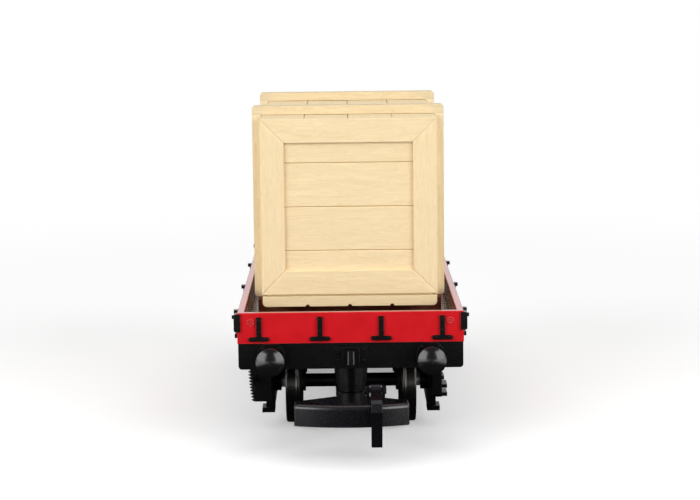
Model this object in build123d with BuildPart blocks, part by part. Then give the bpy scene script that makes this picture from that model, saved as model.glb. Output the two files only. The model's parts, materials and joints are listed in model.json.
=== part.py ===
from build123d import *

import os

# Four-wheel low-sided goods wagon, 4 mm scale on 16.5 mm gauge, carrying one long planked packing case.
# X runs across the wagon, Y along it (the front end is at -Y) and Z up from the lowest point of the
# wheel flanges. The origin is on that level, at the middle of the wagon. All sizes are in millimetres.

# Body
body_length = 75.0
body_width = 32.0
body_bottom = 15.9
wall_top = 20.3
wall = 1.0
shell_floor = 0.5
floor_top = 16.7
plank_pitch = 1.65
joint_width = 0.14
joint_depth = 0.1
deck_joint_width = 0.42
deck_joint_depth = 0.16
half_length = body_length / 2
half_width = body_width / 2
inner_half_length = half_length - wall
inner_half_width = half_width - wall

# Iron straps on the ends and sides
strap_width = 0.7
strap_thickness = 0.3
strap_bottom = 16.25
strap_top = 19.7
side_strap_top = 20.2
foot_width = 2.9
foot_height = 0.62
end_strap_places = (-12.95, -4.32, 4.32, 12.95)
side_strap_places = (-33.9, -11.3, 11.3, 33.9)
bolt_radius = 0.2
bolt_height = 0.15

# Underframe
headstock_bottom = 12.2
headstock_half_width = 15.9
headstock_thickness = 1.3
solebar_inner = 12.2
solebar_outer = 13.9
solebar_bottom = 12.7
flange_thickness = 0.5
chassis_plate_bottom = 14.5
chassis_plate_top = 15.1
post_y = 32.0
post_bottom = 8.1
post_low_radius = 2.2
post_high_radius = 2.6
screw_y = 4.8
screw_hole_radius = 0.7
cross_member_y = 9.6
rib_places = (-33.9, -28.2, -11.3, -5.6, 5.6, 11.3, 28.2, 33.9)

# Running gear
axle_z = 7.0
axle_y = 20.0
axle_radius = 1.0
axle_tip_radius = 0.12
axle_cone_start = 11.1
axle_half_length = 12.75
running_clearance = 0.05
fixed_clearance = 0.02
flange_radius = 7.0
tread_radius = 6.3
wheel_inner = 7.25
flange_width = 0.75
wheel_outer = 9.65
bush_radius = 1.6
guard_inner = 11.4
guard_outer = 12.2
leg_outer = 12.7
foot_bottom = 2.45
foot_top = 3.15
boss_inner = 10.4
boss_radius = 1.5
cup_radius = 1.15
box_bottom = 4.5
box_outer = 13.6
spring_bottom = 9.5

# Brake gear
shaft_z = 7.6
shaft_radius = 0.5
lever_inner = 13.8
lever_outer = 14.15
tooth_pitch = 0.46
tooth_count = 12

# Buffers and drawhooks
buffer_x = 11.25
buffer_z = 14.15
buffer_reach = 6.0
buffer_head_radius = 2.0
ram_radius = 0.7
stock_shank_radius = 0.88
hook_z = 14.15
shank_radius = 0.33

# Couplings
bar_half_width = 7.95
bar_bottom = 5.9
bar_top = 8.9
bar_thickness = 0.8
bar_end_y = 45.9
bar_middle_y = 47.4
frame_bottom = 7.2
frame_top = 8.0
coupling_screw_radius = 0.8
hook_low_x = 2.65
hook_high_x = 4.15
hook_pivot_y = 40.8
hook_pivot_z = 9.75
rivet_radius = 0.4

# Packing case
case_half_width = 12.9
case_half_length = 25.4
case_bottom = 20.86
case_top = 46.65
case_wall = 1.2
frame_depth = 0.45
frame_border = 3.5
groove_width = 0.34
groove_depth = 0.28
base_bottom = 19.1
base_top = 20.62
band_half_width = 14.3
band_top = 48.0
band_bottom = 19.25
band_length = 2.2
band_y = 15.6


def span(side, inner, outer):
    """Low and high limits of something between two distances, on the -1 or +1 side."""
    return (inner, outer) if side > 0 else (-outer, -inner)


def slab(x, y, z, mode=Mode.ADD):
    """A rectangular block between (low, high) limits along each axis."""
    with Locations(((x[0] + x[1]) / 2, (y[0] + y[1]) / 2, (z[0] + z[1]) / 2)):
        Box(x[1] - x[0], y[1] - y[0], z[1] - z[0], mode=mode)


def end_plane(distance, end=-1):
    """Upright plane facing out of one end, the front unless told, with its second axis up."""
    return Plane(origin=(0, end * distance, 0), x_dir=(-end, 0, 0), z_dir=(0, end, 0))


def side_plane(side, distance):
    """Upright plane facing out of one side, with its second axis up."""
    return Plane(origin=(side * distance, 0, 0), x_dir=(0, side, 0), z_dir=(side, 0, 0))


def turned_round(piece):
    """The same piece at the other end of the wagon, after a half turn about the upright axis."""
    with BuildPart() as turned:
        add(piece.part, rotation=(0, 0, 180))
    return turned


def mirrored(piece, about):
    """The handed copy of a piece on the far side of a plane."""
    with BuildPart() as handed:
        mirror(piece.part, about=about)
    return handed


# ---------------------------------------------------------------- body

def make_body_shell():
    """Red one-piece body: thin floor, two sides and two ends with fine plank joints."""
    wall_height = wall_top - body_bottom
    joint_heights = (18.0, 19.15)
    ring_x = 14.1
    ring_z = 18.9
    with BuildPart() as body_shell:
        with BuildSketch(Plane.XY.offset(body_bottom)):
            Rectangle(body_width, body_length)
        extrude(amount=wall_height)
        with BuildSketch(Plane.XY.offset(body_bottom + shell_floor)):
            Rectangle(2 * inner_half_width, 2 * inner_half_length)
        extrude(amount=wall_height, mode=Mode.SUBTRACT)
        fillet(body_shell.edges().group_by(Axis.Z)[-1], radius=0.15)
        for height in joint_heights:
            level = (height - joint_width / 2, height + joint_width / 2)
            for side in (-1, 1):
                along = (-inner_half_length, inner_half_length)
                across = (-inner_half_width, inner_half_width)
                deep_side = span(side, inner_half_width - joint_depth, inner_half_width + joint_depth)
                deep_end = span(side, inner_half_length - joint_depth, inner_half_length + joint_depth)
                outside = span(side, half_width - joint_depth, half_width + joint_depth)
                slab(deep_side, along, level, Mode.SUBTRACT)
                slab(across, deep_end, level, Mode.SUBTRACT)
                slab(outside, along, level, Mode.SUBTRACT)
        # A low washer ring with a pip in it, near each end of both end panels
        for end in (-1, 1):
            with BuildSketch(end_plane(half_length, end)):
                with Locations((-ring_x, ring_z), (ring_x, ring_z)):
                    Circle(0.5)
                    Circle(0.32, mode=Mode.SUBTRACT)
                    Circle(0.14)
            extrude(amount=0.1)
        with Locations((0, -screw_y, body_bottom), (0, screw_y, body_bottom)):
            Cylinder(screw_hole_radius, 4 * shell_floor, mode=Mode.SUBTRACT)
    return body_shell


def make_floor_deck():
    """Planked deck that lies on the shell floor, planks running across the wagon."""
    deck_gap = 0.03
    plank_gaps = int(inner_half_length / plank_pitch)
    with BuildPart() as floor_deck:
        slab(
            (deck_gap - inner_half_width, inner_half_width - deck_gap),
            (deck_gap - inner_half_length, inner_half_length - deck_gap),
            (body_bottom + shell_floor, floor_top),
        )
        for step in range(-plank_gaps, plank_gaps + 1):
            y = step * plank_pitch
            if abs(y) < inner_half_length - plank_pitch / 2:
                gap = (y - deck_joint_width / 2, y + deck_joint_width / 2)
                slab((-half_width, half_width), gap, (floor_top - deck_joint_depth, wall_top), Mode.SUBTRACT)
    return floor_deck


def make_end_straps():
    """Four T-shaped straps on the front end, each with a wide foot and bolt heads."""
    foot_middle = strap_bottom + foot_height / 2
    with BuildPart() as end_straps:
        with BuildSketch(end_plane(half_length)):
            for x in end_strap_places:
                with Locations((x, (strap_bottom + strap_top) / 2)):
                    Rectangle(strap_width, strap_top - strap_bottom)
                with Locations((x, foot_middle)):
                    RectangleRounded(foot_width, foot_height, 0.29)
        extrude(amount=strap_thickness)
        with BuildSketch(end_plane(half_length + strap_thickness)):
            for x in end_strap_places:
                with Locations((x - 1.0, foot_middle), (x + 1.0, foot_middle), (x, 17.6), (x, 19.2)):
                    Circle(bolt_radius)
        extrude(amount=bolt_height)
    return end_straps


def make_side_straps(side):
    """Four straps on one side, each with a raised catch at the top and a hinge knuckle at the foot."""
    face = half_width
    with BuildPart() as side_straps:
        for y in side_strap_places:
            wide = (y - strap_width / 2, y + strap_width / 2)
            slab(span(side, face, face + strap_thickness), wide, (strap_bottom, side_strap_top))
            slab(span(side, face, face + 0.6), (y - 0.5, y + 0.5), (side_strap_top - 0.5, side_strap_top))
            slab(span(side, face, face + 0.5), (y - 0.9, y + 0.9), (strap_bottom, strap_bottom + 0.6))
        with BuildSketch(side_plane(side, face + strap_thickness)):
            for y in side_strap_places:
                with Locations((side * y, 17.5), (side * y, 18.6)):
                    Circle(bolt_radius)
        extrude(amount=bolt_height)
    return side_straps


def make_corner_plates():
    """Four angle irons that clasp the body corners, each with a bolt head on the side leg."""
    height = (17.65, 20.15)
    end_lap = 0.45
    side_lap = 1.3
    outer = half_width + 0.47
    bolt_y = half_length - side_lap / 2
    bolt_z = 19.65
    with BuildPart() as corner_plates:
        for side in (-1, 1):
            for end in (-1, 1):
                side_leg = span(side, half_width, outer)
                end_leg = span(side, half_width - end_lap, outer)
                slab(side_leg, span(end, half_length - side_lap, half_length), height)
                slab(end_leg, span(end, half_length, half_length + strap_thickness), height)
        fillet(corner_plates.edges().filter_by(Axis.Y).group_by(Axis.X)[0], radius=0.22)
        fillet(corner_plates.edges().filter_by(Axis.Y).group_by(Axis.X)[-1], radius=0.22)
        for side in (-1, 1):
            with BuildSketch(side_plane(side, outer)):
                with Locations((bolt_y, bolt_z), (-bolt_y, bolt_z)):
                    Circle(0.28)
            extrude(amount=0.28)
    return corner_plates


# ---------------------------------------------------------------- underframe

def make_underframe():
    """Chassis moulding: headstocks, channel solebars, top plate, cross members, axle guards and posts."""
    inside = half_length - headstock_thickness
    between = (-solebar_inner, solebar_inner)
    pocket_end = 31.0
    guard_reach = 7.2
    with BuildPart() as underframe:
        # Headstocks with rounded lower corners
        for end in (-1, 1):
            with BuildSketch(end_plane(half_length if end < 0 else -inside)):
                Polygon(
                    (-headstock_half_width, body_bottom),
                    (-headstock_half_width, headstock_bottom),
                    (headstock_half_width, headstock_bottom),
                    (headstock_half_width, body_bottom),
                )
            extrude(amount=-headstock_thickness)
        lower_corners = underframe.edges().filter_by(Axis.Y).group_by(Axis.Z)[0]
        fillet(lower_corners, radius=0.5)
        # Top plate between the solebars, and a raised rim at each end of the ballast pocket
        slab(between, (-inside, inside), (chassis_plate_bottom, chassis_plate_top))
        for end in (-1, 1):
            slab(between, span(end, pocket_end, inside), (chassis_plate_top, body_bottom))
        # Solebars, open outwards, with stiffening ribs
        web = solebar_inner + 0.7
        for side in (-1, 1):
            slab(span(side, solebar_inner, web), (-inside, inside), (solebar_bottom, body_bottom))
            for low in (solebar_bottom, body_bottom - flange_thickness):
                slab(span(side, web, solebar_outer), (-inside, inside), (low, low + flange_thickness))
            rib = span(side, web, solebar_outer - 0.3)
            for y in rib_places:
                slab(rib, (y - 0.25, y + 0.25), (solebar_bottom, body_bottom))
        # Cross members
        for y in (-cross_member_y, 0, cross_member_y):
            slab(between, (y - 0.4, y + 0.4), (12.9, chassis_plate_bottom))
        # Axle guards: a centre leg with two raking legs, pierced for the bearing cup
        for side in (-1, 1):
            for end in (-1, 1):
                y = end * axle_y
                with BuildSketch(Plane.YZ.offset(span(side, guard_inner, guard_outer)[0])):
                    with Locations((y, 0)):
                        Polygon(
                            (-guard_reach, 13),
                            (-2.3, 6),
                            (-2.1, foot_top - 0.1),
                            (2.1, foot_top - 0.1),
                            (2.3, 6),
                            (guard_reach, 13),
                        )
                        for hand in (-1, 1):
                            gap = ((hand * 2.5, 7.9), (hand * 2.5, 12.3), (hand * 5.6, 12.3))
                            Polygon(*gap, mode=Mode.SUBTRACT)
                    with Locations((y, axle_z)):
                        Circle(cup_radius, mode=Mode.SUBTRACT)
                extrude(amount=guard_outer - guard_inner)
                # Boss on the inner face, bored for the axle
                with BuildSketch(Plane.YZ.offset(span(side, boss_inner, guard_inner)[0])):
                    with Locations((y, axle_z)):
                        Circle(boss_radius)
                        Circle(axle_radius + running_clearance, mode=Mode.SUBTRACT)
                extrude(amount=guard_inner - boss_inner)
                # Thicker leg under the axlebox, and the foot that clips the tie bar
                leg = span(side, guard_inner, leg_outer)
                slab(leg, (y - 1.3, y + 1.3), (foot_top - 0.1, box_bottom - 0.05))
                slab(span(side, guard_inner, 13.3), (y - 1.6, y + 1.6), (foot_bottom, foot_top))
                # The guard's top is tied into the solebar
                tie = span(end, axle_y - guard_reach, axle_y + guard_reach)
                into_solebar = span(side, guard_inner, solebar_inner + 0.1)
                slab(into_solebar, tie, (solebar_bottom, chassis_plate_bottom + 0.1))
            # Tie bar between the two guards on this side
            bar = span(side, guard_inner + 0.1, guard_outer - 0.1)
            slab(bar, (-axle_y, axle_y), (foot_bottom + 0.05, foot_bottom + 0.55))
        # Tapered posts that carry the couplings, bored for their screws
        post_height = chassis_plate_bottom - post_bottom
        with Locations((0, -post_y, post_bottom), (0, post_y, post_bottom)):
            upward = (Align.CENTER, Align.CENTER, Align.MIN)
            Cone(post_low_radius, post_high_radius, post_height, align=upward)
            Cylinder(coupling_screw_radius, 4.2, mode=Mode.SUBTRACT)
        # Screw holes for the body
        with Locations((0, -screw_y, chassis_plate_bottom), (0, screw_y, chassis_plate_bottom)):
            Cylinder(screw_hole_radius, 2, mode=Mode.SUBTRACT)
        # Buffer stocks and drawhook shanks pass into the headstocks
        stock_hole = stock_shank_radius + fixed_clearance
        shank_hole = shank_radius + fixed_clearance
        for end in (-1, 1):
            left_hole = (-buffer_x, buffer_z, stock_hole)
            right_hole = (buffer_x, buffer_z, stock_hole)
            for x, z, radius in (left_hole, right_hole, (0, hook_z, shank_hole)):
                with Locations(Location((x, end * half_length, z), (90, 0, 0))):
                    Cylinder(radius, 3 * headstock_thickness, mode=Mode.SUBTRACT)
    return underframe


def make_ballast_weight():
    """Steel plate that lies in the pocket between the chassis and the body floor."""
    plate_thickness = 0.75
    with BuildPart() as ballast_weight:
        slab((-11, 11), (-30, 30), (chassis_plate_top, chassis_plate_top + plate_thickness))
        with Locations((0, -screw_y, chassis_plate_top), (0, screw_y, chassis_plate_top)):
            Cylinder(1.1, 2, mode=Mode.SUBTRACT)
        fillet(ballast_weight.edges().filter_by(Axis.Z).group_by(Axis.X)[0], radius=1)
        fillet(ballast_weight.edges().filter_by(Axis.Z).group_by(Axis.X)[-1], radius=1)
    return ballast_weight


def make_chassis_screws():
    """Two pan-head screws, driven up through the chassis plate into the body floor."""
    head_radius = 1.3
    head_height = 0.6
    shank = body_bottom + shell_floor - chassis_plate_bottom
    slot_low = chassis_plate_bottom - head_height
    with BuildPart() as chassis_screws:
        for end in (-1, 1):
            with Locations((0, end * screw_y, chassis_plate_bottom)):
                Cylinder(head_radius, head_height, align=(Align.CENTER, Align.CENTER, Align.MAX))
                screw_shank_radius = screw_hole_radius - fixed_clearance
                Cylinder(screw_shank_radius, shank, align=(Align.CENTER, Align.CENTER, Align.MIN))
            slot = (end * screw_y - 0.15, end * screw_y + 0.15)
            slab((-head_radius - 0.1, head_radius + 0.1), slot, (slot_low, slot_low + 0.25), Mode.SUBTRACT)
    return chassis_screws


def make_axlebox_spring():
    """Ridged axlebox and five-leaf spring for the front wheel on the left side, moulded as one."""
    box_height = 4.5
    leaf_count = 5
    leaf_thickness = 0.42
    bend_radius = 70.0
    ridge = 0.54
    with BuildPart() as axlebox_spring:
        with BuildSketch(Plane.YZ.offset(-box_outer)):
            with Locations((-axle_y, box_bottom + box_height / 2)):
                RectangleRounded(3.9, box_height, 0.5)
            with Locations((-axle_y, box_bottom + box_height + 0.3)):
                Rectangle(2.2, 1.0)
        extrude(amount=box_outer - guard_outer)
        # Ridges across the front of the box; the lower two stand out furthest
        for height, outer in ((7.4, 13.95), (6.15, 14.4), (4.9, 14.4)):
            level = (height - ridge / 2, height + ridge / 2)
            slab((-outer, -box_outer), (-axle_y - 1.6, 1.6 - axle_y), level)
        # Spring: each leaf is shorter than the one above it
        for number in range(leaf_count):
            reach = 2.6 + 1.0 * number
            low = spring_bottom + number * leaf_thickness
            tip = low + reach * reach / (2 * bend_radius)
            top = tip + leaf_thickness
            near = -axle_y - reach
            far = -axle_y + reach
            inset = 0.1 * (number % 2)
            with BuildSketch(Plane.YZ.offset(inset - box_outer)):
                with BuildLine():
                    ThreePointArc((near, tip), (-axle_y, low), (far, tip))
                    Line((far, tip), (far, top))
                    ThreePointArc((far, top), (-axle_y, low + leaf_thickness), (near, top))
                    Line((near, top), (near, tip))
                make_face()
            extrude(amount=box_outer - guard_outer - 0.1 - inset)
        # Buckle round the middle of the spring and the shoes at its ends
        buckle_outer = box_outer + 0.15
        slab((-buckle_outer, -guard_outer), (-axle_y - 0.8, 0.8 - axle_y), (spring_bottom, solebar_bottom))
        for hand in (-1, 1):
            y = hand * 6.1 - axle_y
            slab((0.1 - box_outer, -guard_outer - 0.1), (y - 0.6, y + 0.6), (11.5, solebar_bottom))
        # Blind socket for the bearing cup
        with Locations(Location((-guard_outer, -axle_y, axle_z), (0, 90, 0))):
            Cylinder(cup_radius, 2.2, mode=Mode.SUBTRACT)
    return axlebox_spring


def make_axle_bearings():
    """Four brass cups, held between guard and axlebox, with conical seats for the axle points."""
    cup_end = 13.2
    seat_end = 12.85
    taper = (axle_radius - axle_tip_radius) / (axle_half_length - axle_cone_start)
    mouth_radius = axle_radius + running_clearance - taper * (guard_inner - axle_cone_start)
    seat_radius = axle_radius + running_clearance - taper * (seat_end - axle_cone_start)
    outside = cup_radius - fixed_clearance
    with BuildPart() as axle_bearings:
        for side in (-1, 1):
            for end in (-1, 1):
                with BuildSketch(Plane.XY.offset(axle_z)):
                    with Locations((0, end * axle_y)):
                        Polygon(
                            (side * guard_inner, mouth_radius),
                            (side * guard_inner, outside),
                            (side * cup_end, outside),
                            (side * cup_end, 0),
                            (side * seat_end, 0),
                            (side * seat_end, seat_radius),
                        )
                revolve(axis=Axis((0, end * axle_y, axle_z), (1, 0, 0)))
    return axle_bearings


# ---------------------------------------------------------------- brake gear

def make_brake_gear(side):
    """V-hangers, push rods and two shoes on one side; the shoes hang clear of the treads."""
    shoe_radius = tread_radius + 0.3
    shoe_thickness = 1.1
    shoe_inner_x = 8.15
    shoe_outer_x = 9.5
    rod_inner_x = 8.4
    rod_outer_x = 9.0
    cheek_outer_x = 11.2
    hanger_low = 5.6
    plate_low = 11.5
    plate_high = 13.4
    rod_end = axle_y - shoe_radius - shoe_thickness
    with BuildPart() as brake_gear:
        for end in (-1, 1):
            # Shoe: a short ring segment that faces the tread from the middle of the wagon
            with BuildSketch(Plane.YZ.offset(span(side, shoe_inner_x, shoe_outer_x)[0])):
                with Locations((end * axle_y, axle_z)):
                    Circle(shoe_radius + shoe_thickness)
                    Circle(shoe_radius, mode=Mode.SUBTRACT)
                with Locations((end * (axle_y - 7.5), axle_z + 0.2)):
                    Rectangle(3.6, 4.6, mode=Mode.INTERSECT)
            extrude(amount=shoe_outer_x - shoe_inner_x)
            # Hanger from the chassis plate down the back of the shoe, with a wide outer cheek
            hang = (end * rod_end - 0.35, end * rod_end + 0.35)
            slab(span(side, shoe_inner_x, shoe_outer_x), hang, (axle_z - 1, chassis_plate_bottom))
            slab(span(side, shoe_outer_x + 0.4, cheek_outer_x), hang, (hanger_low, chassis_plate_bottom))
            slab(span(side, shoe_outer_x - 0.2, cheek_outer_x), hang, (12.6, chassis_plate_bottom))
            # Push rod from the shoe to the cross shaft, raking down towards the shoe
            with BuildSketch(Plane.YZ.offset(span(side, rod_inner_x, rod_outer_x)[0])):
                Polygon(
                    (end * 0.2, shaft_z - 0.9),
                    (end * 0.2, shaft_z + 0.9),
                    (end * rod_end, axle_z - 0.3),
                    (end * rod_end, axle_z - 1.1),
                )
            extrude(amount=rod_outer_x - rod_inner_x)
        slab(span(side, rod_inner_x, rod_outer_x), (-0.6, 0.6), (shaft_z - 1.1, shaft_z + 1.1))
        # Pair of V-hangers and the block that ties them to the solebar
        for inner_x in (plate_low, plate_high - 0.5):
            with BuildSketch(Plane.YZ.offset(span(side, inner_x, inner_x + 0.5)[0])):
                foot = shaft_z - 1
                crotch = (0, shaft_z + 1.4)
                Polygon((-3.8, solebar_bottom), (-0.9, foot), (0.9, foot), (3.8, solebar_bottom))
                Polygon((-2.2, solebar_bottom - 0.7), crotch, (2.2, solebar_bottom - 0.7), mode=Mode.SUBTRACT)
            extrude(amount=0.5)
        slab(span(side, plate_low, plate_high), (-3.6, 3.6), (solebar_bottom - 0.6, solebar_bottom))
        # Safety bracket that ties the rod to the inner hanger, so that the gear is one moulding
        for low in (shaft_z - 1, shaft_z + 0.6):
            slab(span(side, rod_inner_x, plate_low + 0.5), (-0.4, 0.4), (low, low + 0.4))
        with Locations(Location((side * 10, 0, shaft_z), (0, 90, 0))):
            Cylinder(shaft_radius + fixed_clearance, 12, mode=Mode.SUBTRACT)
    return brake_gear


def make_brake_cross_shaft():
    """Round shaft that joins the brake gear of both sides."""
    with BuildPart() as brake_cross_shaft:
        with Locations(Location((0, 0, shaft_z), (0, 90, 0))):
            Cylinder(shaft_radius, 2 * lever_inner)
    return brake_cross_shaft


def make_brake_lever():
    """Long hand lever on the left side, with the toothed guard plate near the front end."""
    guard_y = -31.4
    guard_thickness = 0.7
    guard_low = 6.25
    guard_root = 11.6
    guard_edge = 14.42
    foot_inset = 0.47
    tooth_reach = 0.47
    guard_rise = tooth_count * tooth_pitch
    teeth = []
    for number in range(tooth_count):
        rise = number * tooth_pitch
        # The toothed edge curves in towards its foot
        edge = guard_edge - foot_inset * (1 - rise / guard_rise) ** 2
        teeth.append((-edge, guard_low + rise))
        teeth.append((-edge - tooth_reach, guard_low + rise + tooth_pitch / 2))
    teeth.append((-guard_edge, guard_low + guard_rise))
    with BuildPart() as brake_lever:
        with BuildSketch(end_plane(-guard_y)):
            root = ((-guard_root, solebar_bottom), (-guard_root, guard_low))
            Polygon(*root, *teeth, (-guard_edge, solebar_bottom))
        extrude(amount=-guard_thickness)
        # The lever sags a little between the shaft and the guard, then turns down to its handle
        with BuildSketch(Plane.YZ.offset(-lever_outer)):
            Polygon(
                (0.9, shaft_z - 0.9),
                (0.9, shaft_z + 0.9),
                (-6.5, 9.7),
                (-20, 10.6),
                (guard_y + 0.6, 10.2),
                (guard_y + 0.6, 9.3),
                (-20, 9.7),
                (-6.5, 8.7),
            )
        extrude(amount=lever_outer - lever_inner)
        with BuildSketch(Plane.YZ.offset(-lever_outer)):
            Polygon((-32.05, 9.3), (-32.05, 10.1), (-35, 9.5), (-35.4, 8.7), (-34.6, 8.6))
        extrude(amount=lever_outer - lever_inner)
        slab((-lever_outer, -lever_inner), (-32.3, -31.2), (9.3, 10.15))
    return brake_lever


# ---------------------------------------------------------------- buffers and drawhooks

def make_buffer_stocks():
    """Two tapered buffer guides on the front headstock; each round base is cut flat under the body."""
    flange_reach = 1.95
    flange_depth = 0.45
    flange_top = body_bottom - 0.04
    bolt_circle = 1.55
    guide_end = -half_length - 3.5
    bore = ram_radius + fixed_clearance
    with BuildPart() as buffer_stocks:
        for side in (-1, 1):
            with BuildSketch(Plane.XY.offset(buffer_z)):
                with Locations((side * buffer_x, 0)):
                    Polygon(
                        (bore, 1.2 - half_length),
                        (stock_shank_radius, 1.2 - half_length),
                        (stock_shank_radius, -half_length),
                        (flange_reach, -half_length),
                        (flange_reach, -half_length - flange_depth),
                        (1.2, -half_length - flange_depth),
                        (0.98, guide_end + 0.4),
                        (1.15, guide_end + 0.4),
                        (1.15, guide_end),
                        (bore, guide_end),
                    )
            revolve(axis=Axis((side * buffer_x, 0, buffer_z), (0, 1, 0)))
        base = (-half_length - flange_depth, -half_length)
        across = (-headstock_half_width, headstock_half_width)
        slab(across, base, (flange_top, body_bottom + 1), Mode.SUBTRACT)
        with BuildSketch(end_plane(half_length + flange_depth)):
            with Locations((-buffer_x, buffer_z), (buffer_x, buffer_z)):
                with PolarLocations(bolt_circle, 4, start_angle=45):
                    Circle(0.18)
        extrude(amount=bolt_height)
    return buffer_stocks


def make_buffer_heads():
    """Two domed buffer heads with their rams."""
    face = -half_length - buffer_reach
    dome_height = 0.7
    rim_length = 0.2
    dome_radius = (buffer_head_radius**2 + dome_height**2) / (2 * dome_height)
    with BuildPart() as buffer_heads:
        for side in (-1, 1):
            with BuildSketch(Plane.XY.offset(buffer_z)):
                with BuildLine():
                    middle = side * buffer_x
                    Polyline(
                        (middle, face),
                        (middle, 1 - half_length),
                        (middle + ram_radius, 1 - half_length),
                        (middle + ram_radius, face + 1.3),
                        (middle + buffer_head_radius, face + dome_height + rim_length),
                        (middle + buffer_head_radius, face + dome_height),
                    )
                    RadiusArc((middle + buffer_head_radius, face + dome_height), (middle, face), dome_radius)
                make_face()
            revolve(axis=Axis((side * buffer_x, 0, buffer_z), (0, 1, 0)))
    return buffer_heads


def make_drawhook_plate():
    """Stepped plate behind the front drawhook, with four bolt heads and a hole for the shank."""
    base_thickness = 0.2
    step_thickness = 0.3
    bolt_x = 1.8
    with BuildPart() as drawhook_plate:
        with BuildSketch(end_plane(half_length)):
            with Locations((0, hook_z)):
                RectangleRounded(4.6, 2.3, 0.35)
        extrude(amount=base_thickness)
        with BuildSketch(end_plane(half_length + base_thickness)):
            with Locations((0, hook_z)):
                RectangleRounded(2.4, 2.2, 0.2)
        extrude(amount=step_thickness)
        with BuildSketch(end_plane(half_length + base_thickness)):
            with Locations((0, hook_z)):
                with GridLocations(2 * bolt_x, 1.5, 2, 2):
                    Circle(bolt_radius)
        extrude(amount=bolt_height)
        with Locations(Location((0, -half_length, hook_z), (90, 0, 0))):
            Cylinder(shank_radius + fixed_clearance, 4, mode=Mode.SUBTRACT)
    return drawhook_plate


def make_drawhook():
    """Cast hook with a flat upright nose and an open throat, on a round shank."""
    thickness = 1.05
    root_y = half_length + 0.5
    nose_y = root_y + 2.1
    low = hook_z - 0.95
    high = hook_z + 0.95
    throat = 0.75
    with BuildPart() as drawhook:
        with BuildSketch(Plane.YZ.offset(-thickness / 2)):
            Polygon(
                (-root_y, hook_z - 0.6),
                (-root_y - 0.7, low),
                (-nose_y, low),
                (-nose_y, high),
                (-nose_y + 0.55, high),
                (-nose_y + 0.75, hook_z),
                (-root_y - 0.2 - throat, hook_z),
                (-root_y - 0.2 - throat, hook_z + 0.1),
                (-root_y - 0.5, hook_z + 0.6),
                (-root_y, hook_z + 0.6),
            )
        extrude(amount=thickness)
        nose_edges = drawhook.edges().filter_by(Axis.Z).group_by(Axis.Y)[0]
        fillet(nose_edges, radius=0.3)
        with Locations(Location((0, -root_y + 0.65, hook_z), (90, 0, 0))):
            Cylinder(shank_radius, 1.5)
    return drawhook


# ---------------------------------------------------------------- couplings

def make_coupling_bar():
    """Swivelling coupling frame: eye, spreading shank, bowed front bar with returned ends, hook lugs."""
    arm_inner = bar_half_width - bar_thickness
    return_y = 43.2
    top_round = 0.55
    lug_reach = 0.75
    lug_top = hook_pivot_z + 0.65
    with BuildPart() as coupling_bar:
        # Flat frame between the eye and the bar
        with BuildSketch(Plane.XY.offset(frame_bottom)):
            with Locations((0, -post_y)):
                Circle(2.2)
            Polygon(
                (-1.6, -post_y),
                (-1.6, -36.2),
                (-bar_half_width, -39.6),
                (-bar_half_width, -bar_end_y),
                (bar_half_width, -bar_end_y),
                (bar_half_width, -39.6),
                (1.6, -36.2),
                (1.6, -post_y),
            )
            for side in (-1, 1):
                low, high = span(side, 0.9 if side < 0 else 5.1, arm_inner - 0.3)
                Polygon((low, -42.2), (low, -45.3), (high, -45.3), (high, -42.2), mode=Mode.SUBTRACT)
            with Locations((0, -post_y)):
                Circle(coupling_screw_radius + running_clearance, mode=Mode.SUBTRACT)
        extrude(amount=frame_top - frame_bottom)
        # Bowed bar and its returned ends
        with BuildSketch(Plane.XY.offset(bar_bottom)):
            with BuildLine():
                ThreePointArc((-bar_half_width, -bar_end_y), (0, -bar_middle_y), (bar_half_width, -bar_end_y))
                Line((bar_half_width, -bar_end_y), (bar_half_width, -return_y))
                Line((bar_half_width, -return_y), (arm_inner, -return_y))
                Line((arm_inner, -return_y), (arm_inner, bar_thickness - bar_end_y))
                ThreePointArc(
                    (arm_inner, bar_thickness - bar_end_y),
                    (0, bar_thickness - bar_middle_y),
                    (-arm_inner, bar_thickness - bar_end_y),
                )
                Line((-arm_inner, bar_thickness - bar_end_y), (-arm_inner, -return_y))
                Line((-arm_inner, -return_y), (-bar_half_width, -return_y))
                Line((-bar_half_width, -return_y), (-bar_half_width, -bar_end_y))
            make_face()
        extrude(amount=bar_top - bar_bottom)
        front_corners = coupling_bar.edges().filter_by(Axis.Z).group_by(SortBy.LENGTH)[-1]
        outer_corners = front_corners.filter_by(
            lambda edge: abs(abs(edge.center().X) - bar_half_width) < 0.01
        )
        fillet(outer_corners.filter_by(lambda edge: edge.center().Y < -return_y - 1), radius=0.4)
        top_front = coupling_bar.edges().filter_by(GeomType.CIRCLE).filter_by(
            lambda edge: edge.center().Z > bar_top - 0.01 and edge.length > 10
        )
        fillet(top_front.sort_by(Axis.Y)[0], radius=top_round)
        # Two lugs for the hook rivet
        for lug_x in (hook_low_x - 0.55, hook_high_x + 0.1):
            along = (-hook_pivot_y - lug_reach, lug_reach - hook_pivot_y)
            slab((lug_x, lug_x + 0.45), along, (frame_top, lug_top))
        with Locations(Location((0, -hook_pivot_y, hook_pivot_z), (0, 90, 0))):
            Cylinder(rivet_radius, 12, mode=Mode.SUBTRACT)
        # Low rib behind the middle of the bar
        slab((-0.5, 0.9), (bar_thickness - bar_middle_y - 0.2, -45.4), (frame_top, bar_top + 0.2))
    return coupling_bar


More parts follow.
